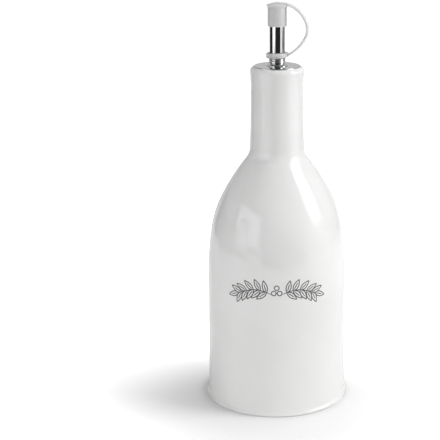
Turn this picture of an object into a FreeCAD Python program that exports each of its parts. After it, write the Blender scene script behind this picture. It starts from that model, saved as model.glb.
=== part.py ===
import FreeCAD, Part
import math
import os
import re
import Sketcher
from FreeCAD import Placement, Rotation, Vector

# A glazed ceramic bottle for vinegar, closed by a chrome pourer with a soft cap on a strap.
#
# The origin is on the bottle's axis, on the plane that it stands on.  +Z is up, the front
# faces -Y, and the cap's strap is on the +X side.  All lengths are in millimetres.
#
# Pieces: the bottle, the pourer's plate in its mouth, the spout that stands in the plate, and
# the cap, whose strap and ring are moulded in one with it.

SIZES = {
    # bottle: foot and underside
    "foot_step": 1.6,             # how far the foot stands out past the straight wall
    "foot_band": 1.1,             # height of the foot's upright face
    "foot_round": 0.7,
    "foot_crest": 1.0,            # outward turn at the foot's top
    "foot_cove": 1.8,             # hollow turn between foot and wall
    "foot_ring_width": 5.0,
    "recess_depth": 1.6,
    # bottle: wall and shoulder
    "body_radius": 41.4,
    "base_sweep_radius": 1540.0,  # the wall widens very slightly towards the foot
    "base_sweep_height": 43.0,
    "shoulder_start": 77.0,
    "blend_radius": 190.0,
    "blend_height": 27.5,
    "corner_radius": 68.0,
    "corner_height": 22.0,
    "slope_radius": 150.0,
    # bottle: neck and lip
    "neck_fillet": 11.0,
    "neck_radius": 15.3,
    "neck_sweep_radius": 840.0,   # the neck widens slightly towards the shoulder
    "rim_height": 202.7,          # where the lip's round would level out
    "lip_length": 12.1,
    "lip_step": 0.5,
    "lip_round": 2.9,
    "lip_wall": 2.1,              # ceramic left round the plate's seat
    "seat_depth": 0.8,
    # plate of the pourer
    "plate_gap": 0.1,
    "plate_thickness": 1.2,
    "plate_round": 0.45,
    "shank_radius": 3.5,
    "shank_gap": 0.1,
    # spout
    "spout_radius": 4.45,
    "spout_length": 31.9,
    "spout_chamfer": 0.4,
    "skirt_step": 1.75,
    "skirt_edge": 0.35,
    "skirt_height": 1.5,
    "bead_height": 1.45,
    "bead_proud": 0.35,
    # cap
    "cap_gap": 0.2,
    "cap_wall": 0.85,
    "cap_grip": 9.0,
    "cap_round": 0.25,
    "crown_height": 3.2,
    "roof_rise": 1.8,
    "brim_step": 0.65,
    "brim_edge": 0.5,
    "brim_taper": 1.2,
    # ring at the strap's end
    "ring_gap": 0.25,
    "ring_seat": 0.3,
    "ring_wall": 1.8,
    "ring_height": 2.8,
    "ring_round": 0.8,
    "ring_tilt": 2.5,
    # strap
    "strap_turn": -15.0,          # the strap is turned a little towards the front
    "strap_width": 4.0,
    "strap_thickness": 1.2,
    "strap_round": 0.4,
    "strap_depth": 1.15,          # middle of the strap below the cap's peak
    "strap_start": 0.6,
    "strap_straight": 2.5,
    "strap_reach": 18.05,
    "strap_top_radius": 15.8,
    "strap_side_radius": 9.85,
    "strap_low_radius": 23.1,
}

# Places that more than one feature or piece goes by, each worked out once from the sizes.
PLACES = {
    "foot_radius": "body_radius + foot_step",
    "stand_inner": "foot_radius - foot_round - foot_ring_width",
    "blend_top": "shoulder_start + blend_height",
    "neck_waist": "rim_height - lip_length",
    "lip_radius": "neck_radius + lip_step",
    "seat_radius": "lip_radius - lip_wall",
    "seat_height": "rim_height - seat_depth",
    "plate_radius": "seat_radius - plate_gap",
    "plate_hole": "shank_radius + shank_gap",
    "plate_top": "seat_height + plate_thickness",
    "skirt_radius": "spout_radius + skirt_step",
    "skirt_top": "plate_top + skirt_height",
    "collar_top": "skirt_top + 2 * bead_height",
    "flare_height": "lip_length - lip_round",
    "flare_radius": "flare_height * flare_height / (2 * lip_step)",
    "bead_radius": "bead_height * bead_height / (8 * bead_proud) + bead_proud / 2",
    "spout_top": "plate_top + spout_length",
    "cap_bottom": "spout_top - cap_grip",
    "cap_bore": "spout_radius + cap_gap",
    "cap_radius": "cap_bore + cap_wall",
    "brim_radius": "cap_radius + brim_step",
    "brim_top": "spout_top + crown_height",
    "brim_low": "brim_top - brim_edge",
    "cap_peak": "brim_top + roof_rise",
    "strap_height": "cap_peak - strap_depth",
    "ring_bore": "spout_radius + ring_gap",
    "ring_middle": "collar_top + ring_seat + ring_height / 2",
    "ring_centre_line": "ring_bore + ring_wall / 2",
}

NAME = re.compile(r"[a-z]\w*")

doc = FreeCAD.newDocument("CeramicBottle")
sheet = doc.addObject("Spreadsheet::Sheet", "Sizes")


def fill_sheet():
    """Writes each size into the sheet as a named cell."""
    for row, (name, number) in enumerate(SIZES.items(), start=1):
        sheet.set(f"A{row}", name)
        sheet.set(f"B{row}", str(number))
        sheet.setAlias(f"B{row}", name)
    doc.recompute()


def tied(text):
    """The text of a sum of sizes and places as an expression on the sheet's cells."""
    def swap(found):
        name = found.group()
        return f"({tied(PLACES[name])})" if name in PLACES else f"Sizes.{name}"
    return NAME.sub(swap, text)


def value(text):
    """What a sum of sizes and places comes to."""
    return float(sheet.evalExpression(tied(text)))


def new_body(name, label):
    body = doc.addObject("PartDesign::Body", name)
    body.Label = label
    return body


def new_sketch(body, name, role):
    """A sketch on one of the body's own origin planes."""
    sketch = body.newObject("Sketcher::SketchObject", name)
    plane = next(item for item in body.Origin.OriginFeatures if item.Role == role)
    sketch.AttachmentSupport = [(plane, "")]
    sketch.MapMode = "FlatFace"
    return sketch


class Outline:
    """Lines and arcs drawn end to end in a sketch, each point and radius tied to the sheet.

    A place is the text of a sum of sizes; a coordinate left out is found by the sketch from
    the pieces that meet there smoothly.
    """

    FIRST, LAST, CENTRE = 1, 2, 3
    AXES = {"X": -2, "Y": -1}     # the axis on which each coordinate is zero

    def __init__(self, sketch, x, y):
        self.sketch = sketch
        self.start = (x, y)
        self.here = Vector(value(x), value(y), 0)
        self.heading = 0.0
        self.pieces = []

    def rule(self, kind, *where):
        return self.sketch.addConstraint(Sketcher.Constraint(kind, *where))

    def tie(self, piece, point, **place):
        """Ties a point of a piece to the sheet along X, Y or both."""
        for way, text in place.items():
            if text == "0":
                self.rule("PointOnObject", piece, point, self.AXES[way])
            elif text is not None:
                index = self.rule(f"Distance{way}", -1, 1, piece, point, value(text))
                self.sketch.setExpression(f"Constraints[{index}]", tied(text))

    def add(self, shape, head, tail, smooth):
        piece = self.sketch.addGeometry(shape, False)
        if self.pieces:
            before, _, joint = self.pieces[-1]
            self.rule("Tangent" if smooth else "Coincident", before, joint, piece, head)
        else:
            self.tie(piece, head, X=self.start[0], Y=self.start[1])
        self.pieces.append((piece, head, tail))
        return piece

    def line(self, x, y, smooth=False):
        """A straight line to a place."""
        end = Vector(value(x), value(y), 0)
        step = end - self.here
        piece = self.add(Part.LineSegment(self.here, end), self.FIRST, self.LAST, smooth)
        self.tie(piece, self.LAST, X=x, Y=y)
        self.here, self.heading = end, math.degrees(math.atan2(step.y, step.x))
        return piece

    def arc(self, radius, sweep, x=None, y=None, smooth=True, free=False):
        """An arc that turns left by about sweep degrees, or right if sweep is negative.

        A free arc has only about that radius: its neighbours set it.
        """
        left = sweep > 0
        size = value(radius)
        out = math.radians(self.heading + (-90.0 if left else 90.0))
        turned = out + math.radians(sweep)
        centre = self.here - Vector(math.cos(out), math.sin(out), 0) * size
        circle = Part.Circle(centre, Vector(0, 0, 1), size)
        low, high = (out, turned) if left else (turned, out)
        head, tail = (self.FIRST, self.LAST) if left else (self.LAST, self.FIRST)
        piece = self.add(Part.ArcOfCircle(circle, low, high), head, tail, smooth)
        self.tie(piece, tail, X=x, Y=y)
        if not free:
            index = self.rule("Radius", piece, size)
            self.sketch.setExpression(f"Constraints[{index}]", tied(radius))
        self.here = centre + Vector(math.cos(turned), math.sin(turned), 0) * size
        self.heading += sweep
        return piece

    def close(self):
        """A last straight line back to the start."""
        head, tail = self.pieces[0], self.pieces[-1]
        end = Vector(value(self.start[0]), value(self.start[1]), 0)
        shape = Part.LineSegment(self.here, end)
        piece = self.sketch.addGeometry(shape, False)
        self.rule("Coincident", tail[0], tail[2], piece, self.FIRST)
        self.rule("Coincident", piece, self.LAST, head[0], head[1])


def rounded_box(sketch, left, right, low, high, rounding):
    """A closed rectangle whose four corners are rounded alike."""
    outline = Outline(sketch, f"{left} + {rounding}", low)
    corners = (
        (f"{right} - {rounding}", low, right, f"{low} + {rounding}"),
        (right, f"{high} - {rounding}", f"{right} - {rounding}", high),
        (f"{left} + {rounding}", high, left, f"{high} - {rounding}"),
        (left, f"{low} + {rounding}", f"{left} + {rounding}", low),
    )
    for line_x, line_y, arc_x, arc_y in corners[:3]:
        outline.line(line_x, line_y)
        outline.arc(rounding, 90, arc_x, arc_y, smooth=False)
    outline.line(*corners[3][:2])
    last = outline.arc(rounding, 90, smooth=False)
    outline.rule("Coincident", last, Outline.LAST, outline.pieces[0][0], Outline.FIRST)


def revolve(body, name, sketch):
    """Turns a sketch once round its own upright axis."""
    turn = body.newObject("PartDesign::Revolution", name)
    turn.Profile = sketch
    turn.ReferenceAxis = (sketch, ["V_Axis"])
    turn.Angle = 360
    body.Tip = turn


def shoulder_turns():
    """How far each arc from the wall to the neck's waist turns, in degrees.

    The arcs are blend, corner, slope, fillet and neck.  The fillet's circle touches both the
    slope's and the neck's, which sets where the slope ends.
    """
    blend, corner, slope = value("blend_radius"), value("corner_radius"), value("slope_radius")
    fillet, neck = value("neck_fillet"), value("neck_sweep_radius")
    first = math.asin(value("blend_height") / blend)
    second = math.asin(math.sin(first) + value("corner_height") / corner)
    middle = Vector(value("body_radius") - blend, value("shoulder_start"), 0)
    middle += Vector(math.cos(first), math.sin(first), 0) * (blend - corner)
    middle += Vector(math.cos(second), math.sin(second), 0) * (corner - slope)
    far = Vector(value("neck_radius") + neck, value("neck_waist"), 0)
    across = far - middle
    reach = slope + fillet
    share = (across.Length ** 2 + reach ** 2 - (neck - fillet) ** 2) / (2 * across.Length * reach)
    third = math.atan2(across.y, across.x) + math.acos(share)
    back = far - middle - Vector(math.cos(third), math.sin(third), 0) * reach
    fourth = math.atan2(back.y, back.x)
    turns = (first, second - first, third - second, fourth - third, -fourth)
    return [math.degrees(turn) for turn in turns]


def make_bottle():
    """The ceramic bottle, turned from one profile: foot, wall, shoulder, neck and lip."""
    body = new_body("Bottle", "bottle")
    sketch = new_sketch(body, "BottleProfile", "XZ_Plane")
    outline = Outline(sketch, "0", "recess_depth")
    # underside and foot
    outline.line("stand_inner - recess_depth", "recess_depth")
    outline.line("stand_inner", "0")
    outline.line("foot_radius - foot_round", "0")
    outline.arc("foot_round", 90)
    outline.line("foot_radius", "foot_band", smooth=True)
    outline.arc("foot_crest", 40)
    outline.arc("foot_cove", -38)
    # wall and shoulder
    blend, corner, slope, fillet, sweep = shoulder_turns()
    outline.arc("base_sweep_radius", -2, "body_radius", "base_sweep_height")
    outline.line("body_radius", "shoulder_start", smooth=True)
    outline.arc("blend_radius", blend, y="blend_top")
    outline.arc("corner_radius", corner, y="blend_top + corner_height")
    outline.arc("slope_radius", slope)
    # neck, which is narrowest at its waist, and lip
    outline.arc("neck_fillet", fillet)
    neck = outline.arc("neck_sweep_radius", sweep, "neck_radius", "neck_waist")
    outline.tie(neck, Outline.CENTRE, Y="neck_waist")
    outline.arc("flare_radius", -6, free=True)
    lip = outline.arc("lip_round", 80, x="seat_radius")
    outline.tie(lip, Outline.CENTRE, X="lip_radius - lip_round", Y="rim_height - lip_round")
    # seat of the plate
    outline.line("seat_radius", "seat_height")
    outline.line("0", "seat_height")
    outline.close()
    revolve(body, "BottleTurned", sketch)


def make_plate():
    """The pourer's round plate, which lies in the bottle's mouth and holds the spout's shank."""
    body = new_body("TopPlate", "top_plate")
    sketch = new_sketch(body, "PlateProfile", "XZ_Plane")
    outline = Outline(sketch, "plate_hole", "seat_height")
    outline.line("plate_radius", "seat_height")
    outline.line("plate_radius", "plate_top - plate_round")
    outline.arc("plate_round", 90, "plate_radius - plate_round", "plate_top", smooth=False)
    outline.line("plate_hole", "plate_top")
    outline.close()
    revolve(body, "PlateTurned", sketch)


def make_spout():
    """The spout: a shank in the plate's hole, a skirt on the plate, two beads and the tube."""
    body = new_body("Spout", "spout")
    sketch = new_sketch(body, "SpoutProfile", "XZ_Plane")
    outline = Outline(sketch, "0", "seat_height")
    outline.line("shank_radius", "seat_height")
    outline.line("shank_radius", "plate_top")
    outline.line("skirt_radius", "plate_top")
    outline.line("skirt_radius", "plate_top + skirt_edge")
    outline.line("spout_radius", "skirt_top")
    half_turn = math.degrees(math.asin(value("bead_height / 2") / value("bead_radius")))
    for top in ("skirt_top + bead_height", "collar_top"):
        outline.heading = 90.0 - half_turn
        outline.arc("bead_radius", 2 * half_turn, "spout_radius", top, smooth=False)
    outline.line("spout_radius", "spout_top - spout_chamfer")
    outline.line("spout_radius - spout_chamfer", "spout_top")
    outline.line("0", "spout_top")
    outline.close()
    revolve(body, "SpoutTurned", sketch)


def make_cap():
    """The soft cap on the spout, one moulding with its strap and the ring at the strap's end."""
    body = new_body("Cap", "cap")
    sketch = new_sketch(body, "CapProfile", "XZ_Plane")
    outline = Outline(sketch, "0", "spout_top")
    outline.line("cap_bore", "spout_top")
    outline.line("cap_bore", "cap_bottom")
    outline.line("cap_radius - cap_round", "cap_bottom")
    outline.arc("cap_round", 90, "cap_radius", "cap_bottom + cap_round", smooth=False)
    outline.line("cap_radius", "brim_low - brim_taper")
    outline.line("brim_radius", "brim_low")
    outline.line("brim_radius", "brim_top")
    outline.line("0", "cap_peak")
    outline.close()
    revolve(body, "CapTurned", sketch)
    add_strap(body)
    add_ring(body)
    body.Placement = Placement(Vector(), Rotation(Vector(0, 0, 1), value("strap_turn")))
    body.setExpression("Placement.Rotation.Angle", tied("strap_turn"))


def add_strap(body):
    """The flat strap, swept from under the cap's peak out to the side and down to the ring."""
    path = new_sketch(body, "StrapPath", "XZ_Plane")
    outline = Outline(path, "strap_start", "strap_height")
    outline.line("strap_straight", "strap_height")
    outline.arc("strap_top_radius", -73)
    side = outline.arc("strap_side_radius", -41)
    outline.tie(side, Outline.CENTRE, X="strap_reach - strap_side_radius")
    outline.arc("strap_low_radius", -41, "ring_centre_line", "ring_middle")

    section = new_sketch(body, "StrapSection", "YZ_Plane")
    section.setExpression("AttachmentOffset.Base.z", tied("strap_start"))
    rounded_box(
        section,
        "-strap_width / 2", "strap_width / 2",
        "strap_height - strap_thickness / 2", "strap_height + strap_thickness / 2",
        "strap_round",
    )
    strap = body.newObject("PartDesign::AdditivePipe", "Strap")
    strap.Profile = section
    strap.Spine = (path, [f"Edge{number}" for number in range(1, len(outline.pieces) + 1)])
    body.Tip = strap


def add_ring(body):
    """The ring at the strap's end, a rounded band round the spout just above the beads."""
    sketch = new_sketch(body, "RingProfile", "XZ_Plane")
    tilt = Rotation(Vector(0, 0, 1), value("ring_tilt"))
    sketch.AttachmentOffset = Placement(Vector(0, value("ring_middle"), 0), tilt)
    sketch.setExpression("AttachmentOffset.Base.y", tied("ring_middle"))
    sketch.setExpression("AttachmentOffset.Rotation.Angle", tied("ring_tilt"))
    rounded_box(
        sketch,
        "ring_bore", "ring_bore + ring_wall",
        "-ring_height / 2", "ring_height / 2",
        "ring_round",
    )
    revolve(body, "RingTurned", sketch)


def check_document():
    """Stops with a plain message if anything in the document failed."""
    for thing in doc.Objects:
        if {"Invalid", "Error"} & set(thing.State):
            raise RuntimeError(f"{thing.Name} failed: {thing.State}")
        if thing.TypeId == "Sketcher::SketchObject" and not thing.FullyConstrained:
            raise RuntimeError(f"{thing.Name} is not fully set by its sizes")


def write_parts():
    """Writes each piece's solid to parts, under the piece's label."""
    os.makedirs("parts", exist_ok=True)
    for body in doc.findObjects("PartDesign::Body"):
        shape = body.Shape
        if shape.isNull() or not shape.isValid() or len(shape.Solids) != 1:
            raise RuntimeError(f"{body.Label} is not one sound solid")
        shape.exportStep(f"parts/{body.Label}.step")
        box = shape.optimalBoundingBox(True, False)
        print(f"{body.Label}: {shape.Volume:.0f} mm3, z {box.ZMin:.2f} to {box.ZMax:.2f}")


fill_sheet()
make_bottle()
make_plate()
make_spout()
make_cap()
doc.recompute()
check_document()
write_parts()
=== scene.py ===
import math

import bmesh
import bpy
from mathutils import Matrix, Vector
from mathutils.bvhtree import BVHTree


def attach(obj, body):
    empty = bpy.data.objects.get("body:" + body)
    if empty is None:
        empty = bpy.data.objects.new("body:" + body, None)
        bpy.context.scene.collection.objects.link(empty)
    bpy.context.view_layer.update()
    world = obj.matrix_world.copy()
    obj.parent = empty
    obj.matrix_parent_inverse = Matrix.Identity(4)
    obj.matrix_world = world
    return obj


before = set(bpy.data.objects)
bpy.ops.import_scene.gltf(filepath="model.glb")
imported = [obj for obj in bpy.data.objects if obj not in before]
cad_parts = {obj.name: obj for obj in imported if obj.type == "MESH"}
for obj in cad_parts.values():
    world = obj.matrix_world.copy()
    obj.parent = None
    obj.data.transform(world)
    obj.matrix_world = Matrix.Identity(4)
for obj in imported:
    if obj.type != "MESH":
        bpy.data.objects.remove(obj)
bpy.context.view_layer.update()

MM = 0.001

# ---------------------------------------------------------------- camera

CAMERA_PLACE = (0.0, -0.7673, 0.3366)
CAMERA_PITCH = math.radians(16.49)    # it looks this much down
CAMERA_ROLL = math.radians(0.11)
CAMERA_LENS = 109.0                   # mm
CAMERA_SENSOR = 36.0                  # mm
CAMERA_SHIFT = -0.1292                # the bottle stands right of the picture's middle
CAMERA_RANGE = (0.01, 50.0)


def add_camera():
    """The camera that sees the bottle from the front and a little above."""
    data = bpy.data.cameras.new("camera")
    data.lens = CAMERA_LENS
    data.sensor_width = CAMERA_SENSOR
    data.shift_x = CAMERA_SHIFT
    data.clip_start, data.clip_end = CAMERA_RANGE
    camera = bpy.data.objects.new("camera", data)
    bpy.context.scene.collection.objects.link(camera)
    tilt = Matrix.Rotation(math.pi / 2 - CAMERA_PITCH, 4, "X")
    roll = Matrix.Rotation(CAMERA_ROLL, 4, "Z")
    camera.matrix_world = Matrix.Translation(CAMERA_PLACE) @ tilt @ roll
    bpy.context.scene.camera = camera


# ---------------------------------------------------------------- shader nodes

class Shader:
    """Adds and joins the nodes of one material or world."""

    def __init__(self, tree):
        self.tree = tree
        tree.nodes.clear()

    def node(self, kind, inputs=None, **settings):
        node = self.tree.nodes.new("ShaderNode" + kind)
        for name, value in settings.items():
            setattr(node, name, value)
        for name, value in (inputs or {}).items():
            self.feed(node.inputs[name], value)
        return node

    def feed(self, socket, value):
        if isinstance(value, bpy.types.NodeSocket):
            self.tree.links.new(value, socket)
        else:
            socket.default_value = value

    def math(self, operation, *values, clamp=False):
        node = self.node("Math", operation=operation, use_clamp=clamp)
        for index, value in enumerate(values):
            self.feed(node.inputs[index], value)
        return node.outputs[0]

    def radius(self, x, y):
        """How far (x, y) is from the bottle's axis."""
        squares = self.math("ADD", self.math("MULTIPLY", x, x), self.math("MULTIPLY", y, y))
        return self.math("SQRT", squares)

    def ramp(self, value, low, high, to_low=0.0, to_high=1.0):
        """A smooth step of value from low to high."""
        node = self.node("MapRange", {"Value": value, "From Min": low, "From Max": high,
                                      "To Min": to_low, "To Max": to_high},
                         interpolation_type="SMOOTHSTEP")
        return node.outputs["Result"]

    def noise(self, place, scale, detail=2.0, roughness=0.5):
        node = self.node("TexNoise", {"Vector": place, "Scale": scale, "Detail": detail,
                                      "Roughness": roughness})
        return node.outputs["Fac"]

    def mix(self, factor, first, second):
        """A colour between first and second."""
        node = self.node("Mix", data_type="RGBA")
        for socket, value in zip((0, 6, 7), (factor, first, second)):
            self.feed(node.inputs[socket], value)
        return node.outputs[2]

    def blend(self, factor, first, second):
        """A number between first and second."""
        node = self.node("Mix", data_type="FLOAT")
        for socket, value in zip((0, 2, 3), (factor, first, second)):
            self.feed(node.inputs[socket], value)
        return node.outputs[0]

    def place(self):
        """The point on the object, in metres, and its three parts."""
        point = self.node("TexCoord").outputs["Object"]
        parts = self.node("SeparateXYZ", {"Vector": point})
        return point, parts.outputs["X"], parts.outputs["Y"], parts.outputs["Z"]

    def bump(self, height, distance, strength=1.0, normal=None):
        node = self.node("Bump", {"Height": height, "Distance": distance, "Strength": strength})
        if normal is not None:
            self.feed(node.inputs["Normal"], normal)
        return node.outputs["Normal"]

    def output(self, shader, kind="OutputMaterial"):
        out = self.node(kind)
        self.tree.links.new(shader.outputs[0], out.inputs["Surface"])

    def surface(self, **inputs):
        """The Principled shader, wired to the output."""
        self.output(self.node("BsdfPrincipled", {name.replace("_", " "): value
                                                 for name, value in inputs.items()}))


def new_material(name):
    material = bpy.data.materials.new(name)
    material.use_nodes = True
    return material, Shader(material.node_tree)


def grey(value, warm=0.0):
    return (value * (1 + warm), value, value * (1 - warm), 1.0)


# ---------------------------------------------------------------- materials

# Patterns of noise: how fine for each metre, how many layers, how rough.
GLAZE_CLOUD = (28.0, 3.0, 0.55)       # slow change of the glaze's tone
GLAZE_SPECK = (900.0, 1.0, 0.4)       # small dark specks
GLAZE_SMEAR = (45.0, 4.0, 0.6)        # patches of more and less gloss
GLAZE_WAVE = (70.0, 1.0, 0.4)         # the wall is not quite even
GLAZE_PEEL = (420.0, 1.0, 0.5)        # fine ripple of the glaze
CLAY_GRAIN = (2600.0, 4.0, 0.65)
CHROME_DULL = (160.0, 4.0, 0.65)      # wiped marks
SPOUT_LINE = (9000.0, 2.0)            # lines round the spout, by height
PLATE_LINE = (7000.0, 2.0)            # lines round the plate, by radius
SILICONE_CLOUD = (260.0, 3.0, 0.6)
SILICONE_SOFT = (420.0, 1.0, 0.5)
SILICONE_GRAIN = (5200.0, 2.0, 0.6)
INK_CLOUD = (1500.0, 3.0, 0.6)

# Tones, each pair from dark to light, and how warm they are.
GLAZE_TONE = (grey(0.845, 0.004), grey(0.87, 0.004))
SPECK_TONE = grey(0.55, 0.08)
SPECK_SHARE = 0.35
CLAY_TONE = (grey(0.62, 0.05), grey(0.74, 0.05))
CHROME_TONE = (grey(0.57, -0.01), grey(0.62, -0.01))
SILICONE_TONE = (grey(0.72, 0.004), grey(0.78, 0.004))
INK_TONE = (grey(0.075), grey(0.115))

# Roughness, from low to high.
GLAZE_ROUGH = (0.05, 0.09)
CLAY_ROUGHER = 0.7
CHROME_ROUGH = (0.05, 0.14)
SILICONE_ROUGH = (0.38, 0.52)
INK_ROUGH = (0.10, 0.16)

CLAY_TOP = (0.15 * MM, 0.6 * MM)      # where bare clay turns into glaze on the foot ring
CLAY_EDGE = (35.0 * MM, 36.0 * MM)

# Depths of the bumps.
WAVE_DEPTH = 0.05 * MM
PEEL_DEPTH = 0.004 * MM
CLAY_DEPTH = 0.15 * MM
LINE_DEPTH = 0.002 * MM
SOFT_DEPTH = 0.03 * MM
GRAIN_DEPTH = 0.006 * MM


def glaze_material():
    """White glazed stoneware: a clear gloss over a white body, bare clay under the foot ring."""
    material, s = new_material("white_glaze")
    point, x, y, z = s.place()
    body = s.mix(s.ramp(s.noise(point, *GLAZE_CLOUD), 0.35, 0.65), *GLAZE_TONE)
    speck = s.ramp(s.noise(point, *GLAZE_SPECK), 0.76, 0.80, 0.0, SPECK_SHARE)
    body = s.mix(speck, body, SPECK_TONE)
    bare = s.math("MULTIPLY", s.ramp(z, *CLAY_TOP, 1.0, 0.0), s.ramp(s.radius(x, y), *CLAY_EDGE))
    clay_grain = s.noise(point, *CLAY_GRAIN)
    colour = s.mix(bare, body, s.mix(clay_grain, *CLAY_TONE))
    gloss = s.ramp(s.noise(point, *GLAZE_SMEAR), 0.3, 0.7, *GLAZE_ROUGH)
    rough = s.math("ADD", gloss, s.math("MULTIPLY", bare, CLAY_ROUGHER))
    normal = s.bump(s.noise(point, *GLAZE_WAVE), WAVE_DEPTH)
    normal = s.bump(s.noise(point, *GLAZE_PEEL), PEEL_DEPTH, normal=normal)
    normal = s.bump(s.math("MULTIPLY", clay_grain, bare), CLAY_DEPTH, normal=normal)
    s.surface(Base_Color=colour, Roughness=rough, Normal=normal, IOR=1.5)
    return material


def chrome_material(name, around):
    """Polished chrome plate with a few dull marks. Its fine turned lines change with the
    height where they go around an upright piece, and with the radius on a flat one."""
    material, s = new_material(name)
    point, x, y, z = s.place()
    dull = s.noise(point, *CHROME_DULL)
    if around:
        line = s.noise(s.node("CombineXYZ", {"Z": z}).outputs[0], *SPOUT_LINE)
    else:
        line = s.noise(s.node("CombineXYZ", {"X": s.radius(x, y)}).outputs[0], *PLATE_LINE)
    s.surface(Base_Color=s.mix(dull, *CHROME_TONE), Metallic=1.0,
              Roughness=s.ramp(dull, 0.45, 0.75, *CHROME_ROUGH),
              Normal=s.bump(line, LINE_DEPTH, 0.6))
    return material


def silicone_material():
    """Soft white silicone: satin, a little see-through, with a fine moulded grain."""
    material, s = new_material("white_silicone")
    point = s.place()[0]
    cloud = s.noise(point, *SILICONE_CLOUD)
    normal = s.bump(s.noise(point, *SILICONE_SOFT), SOFT_DEPTH)
    normal = s.bump(s.noise(point, *SILICONE_GRAIN), GRAIN_DEPTH, normal=normal)
    s.surface(Base_Color=s.mix(cloud, *SILICONE_TONE),
              Roughness=s.ramp(cloud, 0.3, 0.7, *SILICONE_ROUGH), Normal=normal, IOR=1.41,
              Subsurface_Weight=0.6, Subsurface_Radius=(1.0, 1.0, 1.0),
              Subsurface_Scale=2.0 * MM)
    return material


def print_material():
    """The dark grey ink of the printed ornament, under the glaze."""
    material, s = new_material("grey_print")
    cloud = s.noise(s.place()[0], *INK_CLOUD)
    s.surface(Base_Color=s.mix(cloud, *INK_TONE),
              Roughness=s.ramp(cloud, 0.3, 0.7, *INK_ROUGH), IOR=1.5)
    return material


def paint(node_name, material):
    """Gives a CAD node its material in every slot."""
    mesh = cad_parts[node_name].data
    if not mesh.materials:
        mesh.materials.append(material)
    for index in range(len(mesh.materials)):
        mesh.materials[index] = material


# ---------------------------------------------------------------- printed ornament

PRINT_HEIGHT = 78.0 * MM              # of the ornament's middle
PRINT_STROKE = 0.6 * MM
PRINT_PROUD = 0.03 * MM               # how far it lies off the wall
STEM_START = 3.4 * MM
STEM_REACH = 20.0 * MM
STEM_RISE = 2.2 * MM
STEM_DROP = 1.2 * MM
STEM_TURNS = 1.15                     # half waves along the stem
STEM_STEPS = 48
LEAF_PAIRS = (0.12, 0.32, 0.52, 0.72, 0.90)
LEAF_SPREAD = (52, 16)                # degrees off the stem, and how much less at its tip
LEAF_LENGTH = 7.4 * MM
LEAF_WIDTH = 2.9 * MM
LEAF_BELLY = 0.85                     # under 1 the leaf is widest before its middle
LEAF_SWEEP = 0.10 * LEAF_LENGTH       # how far its tip bends aside
LEAF_STEPS = 14
RIB_START = 0.12
RIB_REACH = 0.6
RIB_STEPS = 7
BERRY_RADIUS = 1.35 * MM
BERRY_STEPS = 28
BERRIES = ((0, 2.6), (-1.7, -0.6), (1.7, -0.6))     # mm along and up


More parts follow.
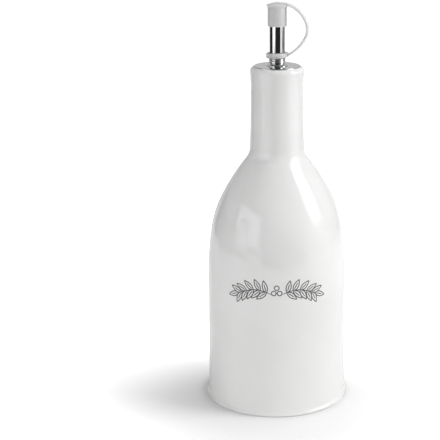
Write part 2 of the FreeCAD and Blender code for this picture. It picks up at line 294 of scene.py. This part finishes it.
class Print:
    """Fine lines laid round the front of the bottle. A point is (along, up) from the print's
    middle, measured on the surface."""

    def __init__(self, node_name):
        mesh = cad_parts[node_name].data
        self.tree = BVHTree.FromPolygons([v.co for v in mesh.vertices],
                                         [tuple(p.vertices) for p in mesh.polygons])
        self.mesh = bmesh.new()

    def lay(self, along, up):
        """The point of the ornament on the bottle's wall."""
        height = PRINT_HEIGHT + up
        wall = self.tree.ray_cast(Vector((0, 0, height)), Vector((0, -1, 0)))[0]
        turn = along / -wall.y
        out = -wall.y + PRINT_PROUD
        return Vector((out * math.sin(turn), -out * math.cos(turn), height))

    def stroke(self, points, closed=False, taper=0.0):
        """A line of even width along points, thinner at its ends by taper."""
        count = len(points)
        pairs = []
        for index, point in enumerate(points):
            before = points[(index - 1) % count] if closed or index else points[0]
            after = points[(index + 1) % count] if closed or index < count - 1 else points[-1]
            step = (after - before).normalized()
            share = 0.0 if closed else 2 * abs(index / (count - 1) - 0.5)
            side = Vector((-step.y, step.x)) * (PRINT_STROKE / 2 * (1 - taper * share ** 3))
            pairs.append([self.mesh.verts.new(self.lay(*(point + side * k))) for k in (-1, 1)])
        for index in range(count if closed else count - 1):
            a, b = pairs[index], pairs[(index + 1) % count]
            self.mesh.faces.new((a[0], b[0], b[1], a[1]))

    def leaf(self, root, angle, side):
        """A pointed leaf from root with two bowed edges and a rib."""
        forward = Vector((math.cos(angle), math.sin(angle)))
        across = Vector((-forward.y, forward.x))

        def point(t, bow=0.0):
            return root + forward * (t * LEAF_LENGTH) + across * (bow + side * LEAF_SWEEP * t * t)

        edges = []
        for sign in (1, -1):
            steps = [index / LEAF_STEPS for index in range(LEAF_STEPS + 1)]
            edges.append([point(t, sign * math.sin(math.pi * t ** LEAF_BELLY) * LEAF_WIDTH / 2)
                          for t in steps])
        self.stroke(edges[0] + edges[1][-2:0:-1], closed=True)
        self.stroke([point(RIB_START + RIB_REACH * index / RIB_STEPS)
                     for index in range(RIB_STEPS + 1)], taper=0.6)

    def sprig(self, side):
        """A stem that leaves the middle to one side, with its leaves."""
        stem = []
        for index in range(STEM_STEPS + 1):
            t = index / STEM_STEPS
            stem.append(Vector((side * (STEM_START + t * STEM_REACH),
                                STEM_RISE * math.sin(math.pi * t * STEM_TURNS) - STEM_DROP)))
        self.stroke(stem, taper=0.4)
        for t in LEAF_PAIRS:
            at = round(t * STEM_STEPS)
            ahead = stem[at + 1] - stem[at]
            lean = math.atan2(ahead.y, ahead.x)
            for turn in (side, -side):
                spread = math.radians(LEAF_SPREAD[0] - LEAF_SPREAD[1] * t)
                self.leaf(stem[at], lean + turn * spread, turn)
        ahead = stem[-1] - stem[-2]
        self.leaf(stem[-1], math.atan2(ahead.y, ahead.x), 0)

    def berry(self, along, up):
        turns = (2 * math.pi * index / BERRY_STEPS for index in range(BERRY_STEPS))
        self.stroke([Vector((along * MM + BERRY_RADIUS * math.cos(turn),
                             up * MM + BERRY_RADIUS * math.sin(turn))) for turn in turns],
                    closed=True)

    def finish(self, name, material):
        data = bpy.data.meshes.new(name)
        bmesh.ops.recalc_face_normals(self.mesh, faces=self.mesh.faces)
        self.mesh.to_mesh(data)
        self.mesh.free()
        data.materials.append(material)
        piece = bpy.data.objects.new(name, data)
        bpy.context.scene.collection.objects.link(piece)
        return piece


def add_print():
    """A sprig to each side of a ring of berries, in fine grey lines."""
    art = Print("bottle")
    for side in (-1, 1):
        art.sprig(side)
    for along, up in BERRIES:
        art.berry(along, up)
    piece = art.finish("front_print", print_material())
    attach(piece, "root")


# ---------------------------------------------------------------- stage

AIM = Vector((0.0, 0.0, 0.12))        # the panels face this point

# Lit panels: where they stand (azimuth and elevation in degrees, distance), how much they are
# raised, their width and height, their strength, and the share of each that fades at the edges.
PANELS = {
    "key_softbox": {"stands": (80, 34, 1.0), "raised": 0.0, "size": (0.50, 1.10),
                    "strength": 6.9, "soft": (0.25, 0.65)},
    "top_softbox": {"stands": (110, 62, 1.1), "raised": 0.0, "size": (0.60, 0.60),
                    "strength": 1.6, "soft": (0.3, 0.3)},
    "fill_panel": {"stands": (-55, 12, 1.0), "raised": 0.0, "size": (0.95, 0.66),
                   "strength": 2.4, "soft": (0.2, 0.2)},
    "strip_light": {"stands": (-60, 0, 0.7), "raised": 0.05, "size": (0.24, 0.34),
                    "strength": 1.9, "soft": (0.3, 0.3)},
}

# Cards on the floor that only gloss mirrors: azimuth, width and level.
CARDS = {
    "card_front": (11, 0.81, 0.03),
    "card_left": (-106.5, 0.71, 0.03),
    "card_right": (73, 0.47, 1.3),
    "card_behind": (122, 0.44, 0.25),
}
CARD_DISTANCE = 0.55
CARD_HEIGHT = 0.20

# A flag that shades the neck and the cap from the fill panel: azimuth, distance, height of its
# middle, width and height.
FLAG = (-55, 0.42, 0.40, 0.60, 0.40)

FLOOR_REACH = 8.0
FLOOR_TONE = (grey(0.86), grey(0.88))
FLOOR_ROUGH = 0.85
FLOOR_SHEEN = 0.2
FLOOR_LOWER = 0.02 * MM
FLOOR_MOTTLE = (6.0, 3.0)
# The camera's white glow on the floor is painted light and shade. Little of it near the foot
# paints shade round the foot. More of it farther off, and sooner behind the bottle, washes out
# the real shadow there.
FLOOR_GLOW_NEAR = 0.09                # white added for the camera, near the foot and far off
FLOOR_GLOW_FAR = 0.75
FLOOR_GLOW_RANGE = (22 * MM, 150 * MM)
FLOOR_GLOW_MIDDLE = -20 * MM          # the glow is least round this point in front of the axis
FLOOR_GLOW_SQUEEZE = 1.53             # and comes back sooner behind it
# No glow inside the first of these radii from the axis: a painted contact shadow where the foot
# meets the floor.
FLOOR_CONTACT_PAINTED_SHADE = (40 * MM, 50 * MM)
FLOOR_GLOW_MIRRORED = 0.6             # share of it that gloss mirrors

WORLD_DIFFUSE = (0.16, 0.72)          # away from the brightest direction and in it
WORLD_BRIGHTEST = (15, 25)            # azimuth and elevation
WORLD_FADE = (-0.2, 1.0)              # cosines of the angle to it
WORLD_BEHIND = (-0.25, 0.35, 0.12, 0.80)    # what gloss mirrors, by the direction's Y
WORLD_BESIDE = (0.25, 0.75, 0.0, 0.65)      # and by its X
WORLD_SEEN = 1.0                      # what the camera sees behind the floor


def toward(azimuth, elevation, distance):
    """A place seen from the bottle. Azimuth 0 is the camera's side and 90 the right."""
    a, e = math.radians(azimuth), math.radians(elevation)
    return AIM + distance * Vector((math.sin(a) * math.cos(e), -math.cos(a) * math.cos(e),
                                    math.sin(e)))


def hide_from(piece, *kinds):
    for kind in kinds:
        setattr(piece, "visible_" + kind, False)


def add_rectangle(name, width, height, material):
    """A flat rectangle that faces +Z."""
    mesh = bpy.data.meshes.new(name)
    w, h = width / 2, height / 2
    mesh.from_pydata([(-w, -h, 0), (w, -h, 0), (w, h, 0), (-w, h, 0)], [], [(0, 1, 2, 3)])
    mesh.materials.append(material)
    piece = bpy.data.objects.new(name, mesh)
    bpy.context.scene.collection.objects.link(piece)
    return piece


def add_panel(name, place, width, height, material, target=AIM):
    """A panel at place that faces target."""
    panel = add_rectangle(name, width, height, material)
    facing = (target - place).to_track_quat("Z", "Y").to_matrix().to_4x4()
    panel.matrix_world = Matrix.Translation(place) @ facing
    return panel


def add_upright(name, azimuth, distance, middle, width, height, material):
    """A panel that stands upright, with its middle at the height middle."""
    place = toward(azimuth, 0, distance)
    place.z = middle
    return add_panel(name, place, width, height, material, Vector((0, 0, middle)))


def softbox_material(name, strength, size, soft):
    """Light that is even in the middle and falls off towards the panel's edges."""
    material, s = new_material(name)
    level = strength
    for part, length, share in zip(s.place()[1:3], size, soft):
        half = length / 2
        level = s.math("MULTIPLY", level, s.ramp(s.math("ABSOLUTE", part), half * (1 - share),
                                                 half, 1.0, 0.0))
    front = s.math("SUBTRACT", 1.0, s.node("NewGeometry").outputs["Backfacing"])
    s.output(s.node("Emission", {"Strength": s.math("MULTIPLY", level, front)}))
    return material


def card_material(name, level):
    material, s = new_material(name)
    s.output(s.node("Emission", {"Strength": level}))
    return material


def floor_material():
    """Plain and pale, with the shadow that the lamps cast. For the camera it glows white away
    from the foot, a painted light that washes that shadow out, and glows less round the foot and
    not at all at its contact, a painted shade.
    """
    material, s = new_material("pale_floor")
    point, x, y, z = s.place()
    path = s.node("LightPath").outputs
    mirrored = s.math("ADD", path["Is Glossy Ray"], path["Is Transmission Ray"], clamp=True)
    seen = s.math("ADD", path["Is Camera Ray"],
                  s.math("MULTIPLY", mirrored, FLOOR_GLOW_MIRRORED), clamp=True)
    # Painted light and shade: the glow is low round the foot, zero at its contact, and high
    # farther off and sooner behind the bottle.
    depth = s.math("SUBTRACT", y, FLOOR_GLOW_MIDDLE)
    behind = s.math("MULTIPLY", s.math("MAXIMUM", depth, 0.0), FLOOR_GLOW_SQUEEZE)
    depth = s.math("ADD", behind, s.math("MINIMUM", depth, 0.0))
    level = s.ramp(s.radius(x, depth), *FLOOR_GLOW_RANGE, FLOOR_GLOW_NEAR, FLOOR_GLOW_FAR)
    level = s.math("MULTIPLY", level, s.ramp(s.radius(x, y), *FLOOR_CONTACT_PAINTED_SHADE))
    body = s.node("BsdfPrincipled", {
        "Base Color": s.mix(s.noise(point, *FLOOR_MOTTLE), *FLOOR_TONE),
        "Roughness": FLOOR_ROUGH, "Specular IOR Level": FLOOR_SHEEN})
    glow = s.node("Emission", {"Strength": s.math("MULTIPLY", seen, level)})
    s.output(s.node("AddShader", {0: body.outputs[0], 1: glow.outputs[0]}))
    return material


def add_floor():
    floor = add_rectangle("floor", 2 * FLOOR_REACH, 2 * FLOOR_REACH, floor_material())
    floor.location.z = -FLOOR_LOWER


def add_world():
    """White behind the object, soft even light on it, and a studio for gloss to mirror."""
    world = bpy.data.worlds.new("studio")
    bpy.context.scene.world = world
    world.use_nodes = True
    s = Shader(world.node_tree)
    path = s.node("LightPath").outputs
    direction = s.node("TexCoord").outputs["Generated"]
    parts = s.node("SeparateXYZ", {"Vector": direction}).outputs
    mirrored = s.math("MAXIMUM", s.ramp(parts["Y"], *WORLD_BEHIND),
                      s.ramp(parts["X"], *WORLD_BESIDE))
    aim = s.node("VectorMath", {0: direction, 1: toward(*WORLD_BRIGHTEST, 1.0) - AIM},
                 operation="DOT_PRODUCT")
    diffuse = s.ramp(aim.outputs["Value"], *WORLD_FADE, *WORLD_DIFFUSE)
    level = s.blend(path["Is Glossy Ray"], diffuse, mirrored)
    level = s.blend(path["Is Camera Ray"], level, WORLD_SEEN)
    s.output(s.node("Background", {"Strength": level}), "OutputWorld")


def add_lights():
    """A tall soft key on the right, a broad dim panel on the left, and cards to mirror."""
    for name, panel in PANELS.items():
        material = softbox_material(name + "_glow", panel["strength"], panel["size"],
                                    panel["soft"])
        place = toward(*panel["stands"]) + Vector((0, 0, panel["raised"]))
        hide_from(add_panel(name, place, *panel["size"], material), "camera", "shadow")
    flag = add_upright("flag_left", *FLAG, card_material("flag_black", 0.0))
    hide_from(flag, "camera", "diffuse", "glossy", "transmission")
    for name, (azimuth, width, level) in CARDS.items():
        card = add_upright(name, azimuth, CARD_DISTANCE, CARD_HEIGHT / 2, width, CARD_HEIGHT,
                           card_material(name + "_tone", level))
        hide_from(card, "camera", "diffuse", "shadow", "transmission")


# ---------------------------------------------------------------- the scene

def build():
    add_camera()
    paint("bottle", glaze_material())
    paint("top_plate", chrome_material("chrome_disc", around=False))
    paint("spout", chrome_material("chrome_turned", around=True))
    paint("cap", silicone_material())
    add_print()
    add_floor()
    add_world()
    add_lights()
    bpy.context.scene.view_settings.view_transform = "Standard"


build()
